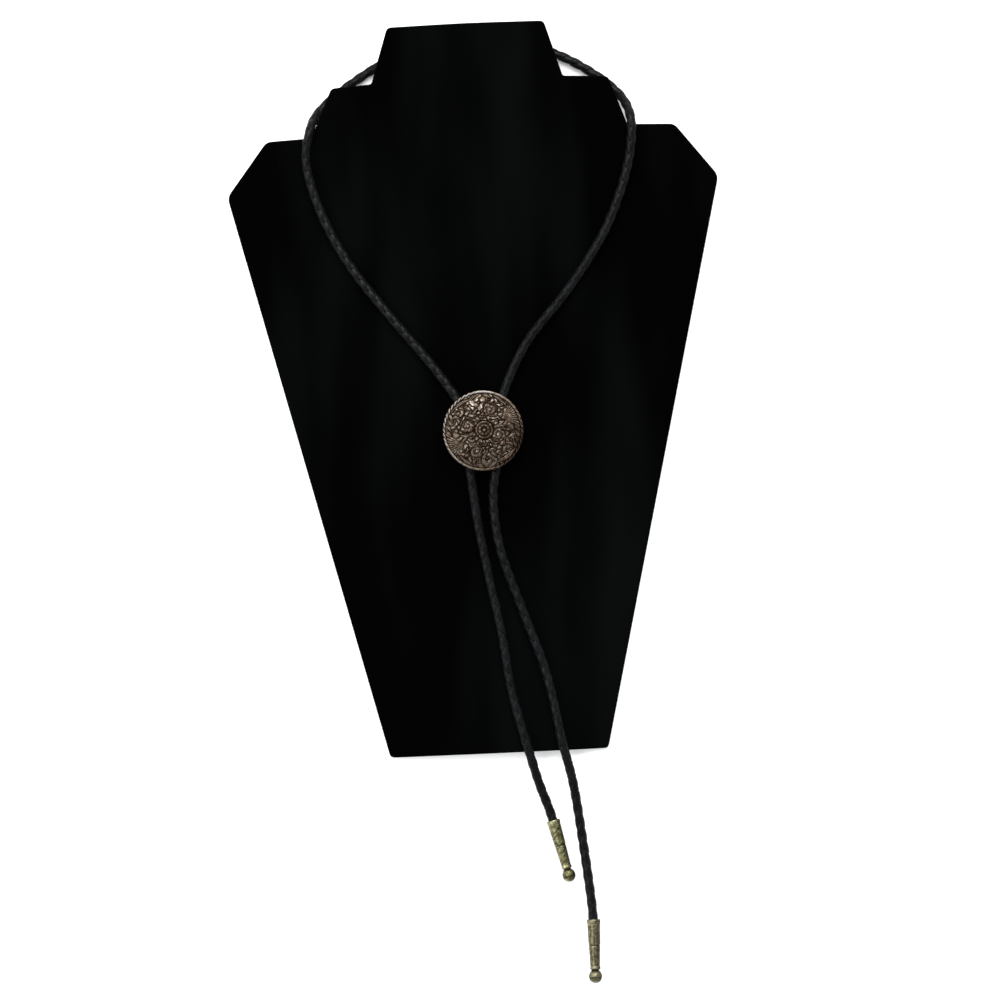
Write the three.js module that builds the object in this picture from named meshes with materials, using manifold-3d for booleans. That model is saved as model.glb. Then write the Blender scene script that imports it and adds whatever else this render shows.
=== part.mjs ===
// A bolo tie laid out on a velvet neck display board, in millimetres.
// The board lies on its back: +X is right, +Y is towards the board's neck, +Z is up, out of its front.
// The origin is on the surface that it all lies on, under the middle of the whole.

import * as THREE from "three";
import { mergeVertices } from "three/addons/utils/BufferGeometryUtils.js";
import Module from "manifold-3d";

const wasm = await Module();
wasm.setup();

// Driving dimensions

const GAP = 0.3;

const BOARD = {
  footY: -118.5,
  footHalfWidth: 52.5,
  shoulderHalfWidth: 117,
  shoulderHeight: 271.5,
  thickness: 4,
  camberPerHalfWidth: 0.1026,
  landDepth: 1,
  columns: 20,
  spareLength: 8,
  spareWidth: 1.06,
};

// The board's outline from the foot up to the neck: how far each corner is to the right and to the left of the
// middle, its height above the foot, and its radius. The covering makes the two sides a little unlike.
const BOARD_OUTLINE = [
  { right: 52.3, left: 52.4, up: -0.5, radius: 2 },
  { right: 117.5, left: 118.5, up: 271.9, radius: 3 },
  { right: 97.4, left: 98.5, up: 297.4, radius: 2.5 },
  { right: 74.9, left: 76.2, up: 298.1, radius: 0.8 },
  { right: 66.5, left: 65.9, up: 321.4, radius: 1.8 },
  { right: 44.9, left: 46.9, up: 322.5, radius: 0.8 },
  { right: 36.9, left: 38.2, up: 349.2, radius: 2 },
];
const NECK_CROWN = { up: 349.7, radius: 12 };

const CORD = { radius: 2.1, sides: 10, stepsPerStretch: 2 };

// The cord's middle line, picked by hand along its visible run, from inside the left tip to inside the right.
const CORD_ROUTE = [
  [25.6, -158.3, 3.25],
  [22.7, -147.3, 3.3],
  [18.4, -134.5, 5.6],
  [13.9, -117.5, 10.8],
  [7.3, -89.5, 11.5],
  [3.6, -60.5, 12.3],
  [-1.5, -32.0, 13.0],
  [-5.9, -3.0, 14.0],
  [-8.6, 28.5, 15.8],
  [-8.8, 43.3, 15.7],
  [-21.3, 64.5, 14.9],
  [-41.7, 91.0, 14.4],
  [-61.5, 118.5, 13.1],
  [-74.8, 146.5, 12.4],
  [-79.7, 169.5, 12.6],
  [-77.4, 182.5, 13.6],
  [-73.4, 191.2, 5.8],
  [-58.2, 204.0, 2.7],
  [-30.0, 218.9, 2.3],
  [4.5, 225.5, 2.3],
  [38.0, 216.8, 2.3],
  [58.3, 205.8, 2.7],
  [72.3, 193.4, 5.6],
  [76.5, 182.4, 13.2],
  [75.0, 164.0, 13.0],
  [63.3, 132.2, 13.5],
  [44.3, 103.6, 14.5],
  [21.5, 76.5, 15.2],
  [10.8, 56.0, 15.2],
  [6.8, 43.3, 15.7],
  [6.5, 28.5, 15.8],
  [2.5, 4.0, 13.9],
  [4.7, -20.7, 13.2],
  [14.0, -50.5, 12.3],
  [24.0, -81.5, 10.9],
  [30.2, -114.5, 9.9],
  [34.3, -133.0, 5.6],
  [37.7, -160.0, 2.5],
  [41.0, -194.5, 3.2],
  [41.4, -207.0, 3.25],
];

const CLASP = {
  x: -1,
  y: 35.8,
  z: 15.9,
  channelOffset: 7.5,
  length: 12,
  tubeRadius: 3.4,
  boreRadius: 2.75,
  sides: 16,
  webThickness: 1.2,
  bossRadius: 4,
};

const CONCHO = {
  x: -0.9,
  y: 35.8,
  backZ: 18.1,
  radius: 19.25,
  rimThickness: 1.8,
  rimInner: 18.2,
  rimBevel: 0.4,
  domeRise: 3.2,
  wall: 1.6,
  hollowRadius: 15.6,
  hollowStep: 10.6,
  seatRadius: 5,
  rings: 29,
  sectors: 96,
};

const TIP = {
  length: 30.5,
  mouthRadius: 3.25,
  ballRadius: 3.2,
  socketRadius: 2.5,
  socketDepth: 6.4,
  axisZ: 3.25,
  sides: 16,
};

// The tip's turned body between its ball and its mouth ring, by height above the ball's end.
const TIP_BODY = [
  { up: 6.5, radius: 1.9 },
  { up: 6.8, radius: 2.45 },
  { up: 7.7, radius: 2.45 },
  { up: 8.0, radius: 2.3 },
  { up: 17.5, radius: 2.7 },
  { up: 17.8, radius: 2.5 },
  { up: 18.3, radius: 2.5 },
  { up: 18.6, radius: 2.8 },
  { up: 28.2, radius: 3.05 },
];
const TIP_PLACES = [
  { name: "tip_left", mouth: [24.2, -152.5], towards: [0.235, -0.972] },
  { name: "tip_right", mouth: [41.4, -200.9], towards: [-0.01, -1.0] },
];

// Materials

const velvet = new THREE.MeshStandardMaterial({ color: 0x0a0b0d, roughness: 1, metalness: 0 });
const leather = new THREE.MeshStandardMaterial({ color: 0x1c1d1e, roughness: 0.45, metalness: 0 });
const copper = new THREE.MeshStandardMaterial({ color: 0x7a6252, roughness: 0.4, metalness: 1 });
const steel = new THREE.MeshStandardMaterial({ color: 0x6f6a64, roughness: 0.35, metalness: 1 });
const brass = new THREE.MeshStandardMaterial({ color: 0x8a8660, roughness: 0.35, metalness: 1 });

// Solids and geometries

function solidOf(geometry) {
  const bare = geometry.clone();
  bare.deleteAttribute("normal");
  bare.deleteAttribute("uv");
  const merged = mergeVertices(bare, 1e-4);
  return new wasm.Manifold(
    new wasm.Mesh({
      numProp: 3,
      vertProperties: merged.attributes.position.array,
      triVerts: new Uint32Array(merged.index.array),
    }),
  );
}

function geometryOf(solid) {
  const mesh = solid.getMesh();
  const geometry = new THREE.BufferGeometry();
  geometry.setAttribute("position", new THREE.BufferAttribute(mesh.vertProperties, 3));
  geometry.setIndex(new THREE.BufferAttribute(mesh.triVerts, 1));
  return geometry;
}

function geometryFrom(points, faces) {
  const geometry = new THREE.BufferGeometry();
  geometry.setAttribute("position", new THREE.Float32BufferAttribute(points.flat(), 3));
  geometry.setIndex(faces.flat());
  return geometry;
}

function namedMesh(name, geometry, material) {
  const mesh = new THREE.Mesh(geometry, material);
  mesh.name = name;
  return mesh;
}

// Display board: a cambered slab cut to the board's outline.
// Every cross-section is the same arch at the width of the taper, so both long edges lie flat.

function boardHalfWidth(up) {
  const taper = (BOARD.shoulderHalfWidth - BOARD.footHalfWidth) / BOARD.shoulderHeight;
  return BOARD.footHalfWidth + taper * up;
}

function camberedSlab() {
  const points = [];
  for (const up of [-BOARD.spareLength, NECK_CROWN.up + BOARD.spareLength]) {
    const half = boardHalfWidth(up);
    for (const lift of [0, BOARD.thickness]) {
      for (let i = 0; i <= BOARD.columns; i++) {
        const share = BOARD.spareWidth * ((2 * i) / BOARD.columns - 1);
        const arch = BOARD.camberPerHalfWidth * half * (1 - share * share);
        points.push([share * half, BOARD.footY + up, arch - BOARD.landDepth + lift]);
      }
    }
  }
  const row = BOARD.columns + 1;
  const [footBack, footFront, neckBack, neckFront] = [0, row, 2 * row, 3 * row];
  const faces = [];
  const quad = (a, b, c, d) => faces.push([a, b, c], [a, c, d]);
  for (let i = 0; i < BOARD.columns; i++) {
    quad(footFront + i, footFront + i + 1, neckFront + i + 1, neckFront + i);
    quad(footBack + i, neckBack + i, neckBack + i + 1, footBack + i + 1);
    quad(footBack + i, footBack + i + 1, footFront + i + 1, footFront + i);
    quad(neckBack + i, neckFront + i, neckFront + i + 1, neckBack + i + 1);
  }
  const last = BOARD.columns;
  quad(footBack, footFront, neckFront, neckBack);
  quad(footBack + last, neckBack + last, neckFront + last, footFront + last);
  return geometryFrom(points, faces);
}

function roundedOutline(corners) {
  const shape = new THREE.Shape();
  corners.forEach((corner, i) => {
    const at = new THREE.Vector2(corner.x, corner.y);
    const towards = (other) => {
      const step = new THREE.Vector2(other.x, other.y).sub(at);
      return at.clone().add(step.setLength(corner.radius));
    };
    const before = towards(corners.at(i - 1));
    const after = towards(corners[(i + 1) % corners.length]);
    if (i === 0) shape.moveTo(before.x, before.y);
    else shape.lineTo(before.x, before.y);
    shape.quadraticCurveTo(at.x, at.y, after.x, after.y);
  });
  shape.closePath();
  return shape;
}

function displayBoard() {
  const side = (pick) => BOARD_OUTLINE.map((c) => ({ x: pick(c), y: BOARD.footY + c.up, radius: c.radius }));
  const crown = { x: 0, y: BOARD.footY + NECK_CROWN.up, radius: NECK_CROWN.radius };
  const outline = roundedOutline([...side((c) => c.right), crown, ...side((c) => -c.left).reverse()]);
  const depth = BOARD.shoulderHalfWidth;
  const prism = new THREE.ExtrudeGeometry(outline, { depth, bevelEnabled: false, curveSegments: 3 });
  return namedMesh("display_board", geometryOf(solidOf(prism).intersect(solidOf(camberedSlab()))), velvet);
}

// Cord: a plain tube of the braid's outer diameter.

// A curve whose steps follow the picked points, so that they are closer where the cord bends.
class PickedRoute extends THREE.CatmullRomCurve3 {
  getUtoTmapping(u) {
    return u;
  }
}

function braidedCord() {
  const route = new PickedRoute(CORD_ROUTE.map((p) => new THREE.Vector3(...p)));
  const section = new THREE.Shape();
  for (let i = 0; i < CORD.sides; i++) {
    const turn = (2 * Math.PI * i) / CORD.sides;
    const corner = [CORD.radius * Math.cos(turn), CORD.radius * Math.sin(turn)];
    if (i === 0) section.moveTo(...corner);
    else section.lineTo(...corner);
  }
  section.closePath();
  const steps = CORD.stepsPerStretch * (CORD_ROUTE.length - 1);
  const tube = new THREE.ExtrudeGeometry(section, { steps, bevelEnabled: false, extrudePath: route });
  return namedMesh("braided_cord", tube, leather);
}

// Slide: the clasp behind and the cast concho in front.

function slideClasp() {
  const tube = (radius, length, side) =>
    solidOf(
      new THREE.CylinderGeometry(radius, radius, length, CLASP.sides)
        .rotateY(Math.PI / CLASP.sides)
        .translate(side * CLASP.channelOffset, 0, 0),
    );
  const seatZ = CONCHO.backZ + conchoBack(CONCHO.seatRadius) - GAP - CLASP.z;
  const webZ = CLASP.tubeRadius - CLASP.webThickness / 2;
  const web = new THREE.BoxGeometry(2 * CLASP.channelOffset, CLASP.length, CLASP.webThickness);
  const boss = new THREE.CylinderGeometry(CLASP.bossRadius, CLASP.bossRadius, seatZ - webZ, CLASP.sides)
    .rotateX(Math.PI / 2)
    .translate(CONCHO.x - CLASP.x, CONCHO.y - CLASP.y, (seatZ + webZ) / 2);
  let solid = solidOf(web.translate(0, 0, webZ)).add(solidOf(boss));
  for (const side of [-1, 1]) solid = solid.add(tube(CLASP.tubeRadius, CLASP.length, side));
  for (const side of [-1, 1]) solid = solid.subtract(tube(CLASP.boreRadius, 2 * CLASP.length, side));
  const clasp = namedMesh("slide_clasp", geometryOf(solid), steel);
  clasp.position.set(CLASP.x, CLASP.y, CLASP.z);
  return clasp;
}

// The pattern is a rosette in the middle of a half design that is repeated half a turn round.
// A stroke is a ridge along an arc whose radius and width change evenly from its start to its end.
const STROKES = [
  // The left scroll's coil and the lobes outside it
  { x: -7.2, y: 2.4, fromRadius: 3.2, toRadius: 0.8, from: -35, to: -560, fromWidth: 0.8, toWidth: 0.6 },
  { x: -7.2, y: 2.4, fromRadius: 4.9, toRadius: 5.1, from: 50, to: 190, fromWidth: 0.9, toWidth: 0.9 },
  // The upper scroll's coil and the lobes outside it
  { x: 3.5, y: 9.8, fromRadius: 3.1, toRadius: 0.8, from: -140, to: 400, fromWidth: 0.8, toWidth: 0.6 },
  { x: 3.5, y: 9.8, fromRadius: 4.7, toRadius: 4.7, from: -70, to: 120, fromWidth: 0.9, toWidth: 0.8 },
];
// A leaf is a ridge along a bent line, widest near its middle.
const LEAVES = [
  { from: [-15.6, 8.8], bend: [-12.4, 13.4], to: [-5.6, 15.2], width: 1.1 },
  { from: [-5.8, 14.6], bend: [-4.4, 16.8], to: [-1.0, 17.7], width: 0.9 },
  { from: [0.0, 17.7], bend: [2.2, 16.8], to: [4.2, 15.8], width: 0.9 },
  { from: [5.2, 17.2], bend: [9.4, 15.2], to: [11.4, 11.6], width: 1.1 },
  { from: [8.6, 17.0], bend: [13.0, 13.4], to: [14.6, 9.4], width: 1.0 },
  { from: [11.6, 15.2], bend: [15.4, 11.0], to: [16.8, 6.6], width: 0.9 },
  { from: [-4.4, -0.6], bend: [-7.4, -2.9], to: [-10.6, -1.8], width: 0.8 },
  { from: [-16.6, 8.6], bend: [-15.2, 7.8], to: [-14.2, 5.4], width: 0.75 },
  { from: [-17.5, 6.0], bend: [-15.9, 5.3], to: [-14.9, 2.8], width: 0.75 },
  { from: [-18.0, 3.2], bend: [-16.4, 2.6], to: [-15.2, 0.1], width: 0.75 },
  { from: [-18.1, 0.3], bend: [-16.5, -0.2], to: [-15.0, -2.6], width: 0.75 },
  { from: [-17.8, -2.5], bend: [-15.8, -2.5], to: [-13.0, -4.4], width: 0.7 },
];
const BUDS = [
  { x: -12.0, y: 10.4, radius: 1.4 },
  { x: -8.2, y: 12.6, radius: 0.9 },
  { x: -5.6, y: 9.4, radius: 1.4 },
  { x: -2.0, y: 7.0, radius: 1.0 },
  { x: -13.6, y: 5.0, radius: 1.3 },
  { x: -4.6, y: -3.0, radius: 1.0 },
  { x: 3.4, y: 14.6, radius: 0.9 },
  { x: 8.6, y: 13.4, radius: 1.1 },
  { x: 9.2, y: 9.3, radius: 1.1 },
];
const BLOSSOM = { x: -1.4, y: 13.6, radius: 2.5, petals: 5 };
const FAN = { x: -10.0, y: -5.2, inner: 1.4, from: 158, to: 252, rays: 9, bend: 1.4, hub: 1.2 };
const ROSETTE = { x: 0.6, y: 0.3, ringRadius: 3.8, ringWidth: 0.7, petals: 9, petalRadius: 2.4, dot: 0.9 };
const PETAL_NOTCH = 0.28;
const RELIEF = { stroke: 0.6, bud: 0.7, petal: 0.6, ray: 0.5, rim: 0.5, ground: -0.15 };

// A rounded ridge, 1 high on its middle line and 0 from one width away.
function ridge(distance, width) {
  return Math.max(0, 1 - (distance / width) ** 2);
}

function strokeHeight(x, y, stroke) {
  const pieces = 60;
  let best = 0;
  for (let i = 0; i <= pieces; i++) {
    const share = i / pieces;
    const turn = THREE.MathUtils.degToRad(THREE.MathUtils.lerp(stroke.from, stroke.to, share));
    const radius = THREE.MathUtils.lerp(stroke.fromRadius, stroke.toRadius, share);
    const width = THREE.MathUtils.lerp(stroke.fromWidth, stroke.toWidth, share);
    const distance = Math.hypot(
      x - stroke.x - radius * Math.cos(turn),
      y - stroke.y - radius * Math.sin(turn),
    );
    best = Math.max(best, ridge(distance, width));
  }
  return RELIEF.stroke * best;
}

function leafHeight(x, y, leaf) {
  const pieces = 24;
  let best = 0;
  for (let i = 0; i <= pieces; i++) {
    const share = i / pieces;
    const along = (k) =>
      (1 - share) ** 2 * leaf.from[k] + 2 * share * (1 - share) * leaf.bend[k] + share ** 2 * leaf.to[k];
    const width = leaf.width * (0.35 + 0.65 * Math.sin(Math.PI * share ** 0.8));
    best = Math.max(best, ridge(Math.hypot(x - along(0), y - along(1)), width));
  }
  return RELIEF.stroke * best;
}

function flowerHeight(x, y, flower) {
  const distance = Math.hypot(x - flower.x, y - flower.y);
  const turn = Math.atan2(y - flower.y, x - flower.x);
  const edge = flower.radius * (1 - PETAL_NOTCH + PETAL_NOTCH * Math.cos(flower.petals * turn));
  return RELIEF.petal * ridge(distance, edge);
}

function fanHeight(x, y) {
  const [across, along] = [x - FAN.x, y - FAN.y];
  const distance = Math.hypot(across, along);
  const straight = THREE.MathUtils.euclideanModulo(THREE.MathUtils.radToDeg(Math.atan2(along, across)), 360);
  const turn = straight + FAN.bend * (distance - FAN.inner);
  if (turn < FAN.from || turn > FAN.to || distance < FAN.inner) return RELIEF.bud * ridge(distance, FAN.hub);
  const ray = ((turn - FAN.from) / (FAN.to - FAN.from)) * FAN.rays;
  return RELIEF.ray * Math.sin(Math.PI * ray) ** 2;
}

function halfPattern(x, y) {
  return Math.max(
    ...STROKES.map((stroke) => strokeHeight(x, y, stroke)),
    ...LEAVES.map((leaf) => leafHeight(x, y, leaf)),
    ...BUDS.map((bud) => RELIEF.bud * ridge(Math.hypot(x - bud.x, y - bud.y), bud.radius)),
    flowerHeight(x, y, BLOSSOM),
    fanHeight(x, y),
  );
}

function rosetteHeight(x, y) {
  const distance = Math.hypot(x - ROSETTE.x, y - ROSETTE.y);
  const petals = flowerHeight(x, y, { ...ROSETTE, radius: ROSETTE.petalRadius });
  const ring = RELIEF.stroke * ridge(distance - ROSETTE.ringRadius, ROSETTE.ringWidth);
  return Math.max(petals, ring, RELIEF.bud * ridge(distance, ROSETTE.dot));
}

function castHeight(x, y) {
  if (Math.hypot(x, y) > CONCHO.rimInner) return RELIEF.rim;
  const inRosette = Math.hypot(x - ROSETTE.x, y - ROSETTE.y) < ROSETTE.ringRadius + ROSETTE.ringWidth;
  if (inRosette) return Math.max(RELIEF.ground, rosetteHeight(x, y));
  return Math.max(RELIEF.ground, halfPattern(x, y), halfPattern(-x, -y));
}

// Heights of the plain dome and of the hollow behind it with its flat seat, above the rim's back.
function conchoDome(distance) {
  const share = Math.min(1, distance / CONCHO.rimInner);
  return CONCHO.rimThickness + CONCHO.domeRise * (1 - share * share);
}

function conchoBack(distance) {
  return conchoDome(Math.max(distance, CONCHO.seatRadius)) - CONCHO.wall;
}

function concho() {
  const { radius, sectors, rings } = CONCHO;
  const points = [];
  const ringOf = (distance, height) => {
    const start = points.length;
    for (let j = 0; j < sectors; j++) {
      const turn = (2 * Math.PI * j) / sectors;
      const [x, y] = [distance * Math.cos(turn), distance * Math.sin(turn)];
      points.push([x, y, height(x, y)]);
    }
    return start;
  };
  const front = (x, y) => conchoDome(Math.hypot(x, y)) + castHeight(x, y);
  const faces = [];
  const band = (inner, outer) => {
    for (let j = 0; j < sectors; j++) {
      const next = (j + 1) % sectors;
      faces.push([inner + j, outer + j, outer + next], [inner + j, outer + next, inner + next]);
    }
  };
  points.push([0, 0, front(0, 0)]);
  const starts = [];
  for (let i = 1; i <= rings; i++) starts.push(ringOf(((radius - CONCHO.rimBevel) * i) / rings, front));
  starts.push(ringOf(radius, () => CONCHO.rimThickness));
  starts.push(ringOf(radius, () => 0));
  starts.push(ringOf(CONCHO.hollowRadius, () => 0));
  for (const distance of [CONCHO.hollowRadius, CONCHO.hollowStep, CONCHO.seatRadius]) {
    starts.push(ringOf(distance, () => conchoBack(distance)));
  }
  for (let j = 0; j < sectors; j++) faces.push([0, starts[0] + j, starts[0] + ((j + 1) % sectors)]);
  for (let i = 1; i < starts.length; i++) band(starts[i - 1], starts[i]);
  const middle = points.push([0, 0, conchoBack(0)]) - 1;
  const last = starts.at(-1);
  for (let j = 0; j < sectors; j++) faces.push([middle, last + ((j + 1) % sectors), last + j]);
  const mesh = namedMesh("concho", geometryFrom(points, faces), copper);
  mesh.position.set(CONCHO.x, CONCHO.y, CONCHO.backZ);
  return mesh;
}

// Tips: a turned body with a socket for the cord at its mouth and a ball at its end.
// The profile runs from the ball's end to the mouth and back down the socket. Its axis is +Y at the mouth.

function tipProfile() {
  const ballSteps = 6;
  const neckTurn = 0.76 * Math.PI;
  const profile = [];
  for (let i = 0; i <= ballSteps; i++) {
    const turn = (neckTurn * i) / ballSteps;
    profile.push({ radius: TIP.ballRadius * Math.sin(turn), up: TIP.ballRadius * (1 - Math.cos(turn)) });
  }
  profile.push(...TIP_BODY);
  const ringUp = TIP_BODY.at(-1).up + 0.4;
  profile.push({ radius: TIP.mouthRadius, up: ringUp }, { radius: TIP.mouthRadius, up: TIP.length });
  const socketUp = TIP.length - TIP.socketDepth;
  profile.push({ radius: TIP.socketRadius, up: TIP.length }, { radius: TIP.socketRadius, up: socketUp });
  profile.push({ radius: 0, up: socketUp });
  return profile.map(({ radius, up }) => new THREE.Vector2(radius, up - TIP.length));
}

function cordTip({ name, mouth, towards }) {
  const tip = namedMesh(name, new THREE.LatheGeometry(tipProfile(), TIP.sides), brass);
  tip.position.set(mouth[0], mouth[1], TIP.axisZ);
  tip.rotation.z = Math.atan2(-towards[1], -towards[0]) - Math.PI / 2;
  return tip;
}

const boloTie = new THREE.Group();
boloTie.add(displayBoard(), braidedCord(), slideClasp(), concho(), ...TIP_PLACES.map(cordTip));

export default boloTie;
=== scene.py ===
"""The looks of a bolo tie laid out on a velvet neck display board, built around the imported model.

The board lies on its back. +X is right, +Y is towards the board's neck, and +Z is up, out of its front.
Sizes are fields in millimetres, and the meshes are in metres.
"""

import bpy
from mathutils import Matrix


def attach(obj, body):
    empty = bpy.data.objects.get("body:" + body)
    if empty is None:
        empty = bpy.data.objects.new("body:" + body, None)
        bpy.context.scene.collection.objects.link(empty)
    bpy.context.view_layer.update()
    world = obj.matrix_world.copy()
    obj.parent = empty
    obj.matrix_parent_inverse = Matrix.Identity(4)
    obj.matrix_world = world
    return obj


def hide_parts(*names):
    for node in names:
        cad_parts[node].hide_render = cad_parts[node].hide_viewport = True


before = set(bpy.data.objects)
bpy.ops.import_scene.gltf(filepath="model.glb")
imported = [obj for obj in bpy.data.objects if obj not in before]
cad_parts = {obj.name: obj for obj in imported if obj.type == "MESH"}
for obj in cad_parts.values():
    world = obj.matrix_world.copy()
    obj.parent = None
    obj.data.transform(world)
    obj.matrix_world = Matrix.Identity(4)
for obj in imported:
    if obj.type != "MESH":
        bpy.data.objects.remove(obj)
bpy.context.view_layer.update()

import logging
import math
from dataclasses import astuple, dataclass, field
from enum import Enum

import bpy
import numpy as np

logging.basicConfig(level=logging.INFO, format="%(message)s")
log = logging.getLogger("bolo_tie")

MM = 0.001
Array = np.ndarray


# Surfaces


class Ends(Enum):
    """How the first and the last ring of a shell are closed."""

    CAPPED = "each with a fan of triangles to the ring's middle"
    JOINED = "to each other, as on a tube's wall that turns back into its bore"


@dataclass
class Surface:
    """A closed shell: its points in millimetres, its faces, and values that a material reads at each point."""

    points: Array
    quads: Array
    triangles: Array
    marks: dict[str, Array] = field(default_factory=dict)

    def volume(self) -> float:
        """The signed volume, which is the sum of the tetrahedra from the origin to each triangle."""
        halves = [self.quads[:, [0, 1, 2]], self.quads[:, [0, 2, 3]], self.triangles]
        a, b, c = (self.points[np.concatenate(halves)[:, i]] for i in range(3))
        return float((a * np.cross(b, c)).sum() / 6)

    def facing_out(self) -> "Surface":
        """The same shell with its faces turned outwards."""
        if self.volume() >= 0:
            return self
        return Surface(self.points, self.quads[:, ::-1], self.triangles[:, ::-1], self.marks)

    def moved(self, x: float, y: float, z: float) -> "Surface":
        """The same shell moved by a step."""
        return Surface(self.points + [x, y, z], self.quads, self.triangles, self.marks)


def shell(rings: Array, ends: Ends = Ends.CAPPED, marks: dict[str, Array] | None = None) -> Surface:
    """Joins rings of points, each closed on itself, into one shell.

    Args:
        rings: Points as rings by columns by three, in millimetres.
        ends: How the first and the last ring are closed.
        marks: Values at each point as rings by columns, by name.

    Returns:
        The shell, with its faces turned outwards.
    """
    count, columns = rings.shape[:2]
    index = np.arange(count * columns).reshape(count, columns)
    loop = np.concatenate([index, index[:1]]) if ends is Ends.JOINED else index
    across = np.roll(loop, -1, axis=1)
    quads = np.stack([loop[:-1], across[:-1], across[1:], loop[1:]], axis=-1).reshape(-1, 4)
    points = rings.reshape(-1, 3)
    values = {name: value.reshape(-1) for name, value in (marks or {}).items()}
    triangles = np.zeros((0, 3), int)
    if ends is Ends.CAPPED:
        middles = rings[[0, -1]].mean(axis=1)
        first = np.stack([index[0], np.full(columns, count * columns), np.roll(index[0], -1)], axis=-1)
        last = np.stack([index[-1], np.roll(index[-1], -1), np.full(columns, count * columns + 1)], axis=-1)
        triangles = np.concatenate([first, last])
        points = np.concatenate([points, middles])
        for name, value in (marks or {}).items():
            values[name] = np.concatenate([values[name], value[[0, -1]].mean(axis=1)])
    return Surface(points, quads, triangles, values).facing_out()


def joined(surfaces: list[Surface]) -> Surface:
    """Puts several shells into one surface, keeping the marks that they all have."""
    starts = np.cumsum([0] + [len(s.points) for s in surfaces[:-1]])
    names = set.intersection(*(set(s.marks) for s in surfaces))
    return Surface(
        np.concatenate([s.points for s in surfaces]),
        np.concatenate([s.quads + start for s, start in zip(surfaces, starts)]),
        np.concatenate([s.triangles + start for s, start in zip(surfaces, starts)]),
        {name: np.concatenate([s.marks[name] for s in surfaces]) for name in sorted(names)},
    )


def piece(name: str, surface: Surface, material: bpy.types.Material, sharp: float = 40.0) -> bpy.types.Object:
    """Makes a Blender object of a surface, at the origin, unturned and unscaled.

    Args:
        name: The piece's name.
        surface: Its surface in millimetres.
        material: Its finish.
        sharp: The angle in degrees from which an edge between two faces is drawn sharp.

    Returns:
        The linked object.
    """
    corners = np.concatenate([surface.quads.reshape(-1), surface.triangles.reshape(-1)]).astype(np.int32)
    sizes = [4] * len(surface.quads) + [3] * len(surface.triangles)
    mesh = bpy.data.meshes.new(name)
    mesh.vertices.add(len(surface.points))
    mesh.vertices.foreach_set("co", (surface.points * MM).astype(np.float32).reshape(-1))
    mesh.loops.add(len(corners))
    mesh.loops.foreach_set("vertex_index", corners)
    mesh.polygons.add(len(sizes))
    mesh.polygons.foreach_set("loop_start", np.cumsum([0] + sizes[:-1]).astype(np.int32))
    mesh.update(calc_edges=True)
    for mark, values in surface.marks.items():
        attribute = mesh.attributes.new(mark, "FLOAT", "POINT")
        attribute.data.foreach_set("value", values.astype(np.float32))
    mesh.set_sharp_from_angle(angle=math.radians(sharp))
    mesh.materials.append(material)
    made = bpy.data.objects.new(name, mesh)
    bpy.context.scene.collection.objects.link(made)
    log.info("%s: %d points, %d faces", name, len(mesh.vertices), len(mesh.polygons))
    return made


# Materials


def linear(colour: str) -> tuple[float, float, float, float]:
    """An sRGB colour such as "#1c1d1e" as linear red, green, blue and alpha."""
    parts = [int(colour[i : i + 2], 16) / 255 for i in (1, 3, 5)]
    return (*(p / 12.92 if p <= 0.04045 else ((p + 0.055) / 1.055) ** 2.4 for p in parts), 1.0)


def add_node(tree: bpy.types.NodeTree, kind: str, settings: dict, links: dict | None = None) -> bpy.types.Node:
    """Adds a node, sets its properties and inputs by name, and links its inputs to other nodes' outputs.

    Args:
        tree: The material's node tree.
        kind: The node's type.
        settings: A property's or an input's name to its value. An input may be given by its number, and "steps"
            gives a colour ramp's places and sRGB colours.
        links: An input's name or number to the output socket that feeds it.

    Returns:
        The new node.
    """
    made = tree.nodes.new(kind)
    for name, value in settings.items():
        if name == "steps":
            for number, (place, colour) in enumerate(value.items()):
                element = made.color_ramp.elements[number] if number < 2 else made.color_ramp.elements.new(place)
                element.position, element.color = place, linear(colour)
        elif isinstance(name, str) and hasattr(made, name):
            setattr(made, name, value)
        else:
            made.inputs[name].default_value = value
    for name, output in (links or {}).items():
        tree.links.new(output, made.inputs[name])
    return made


def bare_material(name: str, settings: dict) -> tuple[bpy.types.Material, bpy.types.NodeTree, bpy.types.Node]:
    """A new material with its surface shader.

    Args:
        name: The material's name.
        settings: The shader's inputs that are the same all over the surface.

    Returns:
        The material, its tree and its shader.
    """
    material = bpy.data.materials.new(name)
    material.use_nodes = True
    tree = material.node_tree
    shader = tree.nodes["Principled BSDF"]
    for socket, value in settings.items():
        shader.inputs[socket].default_value = value
    return material, tree, shader


def per_size(size: float, stretch: tuple = (1, 1, 1)) -> list[float]:
    """A Mapping node's scale that gives a pattern its size in millimetres, stretched along X, Y and Z."""
    return [1 / (size * MM * longer) for longer in stretch]


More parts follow.
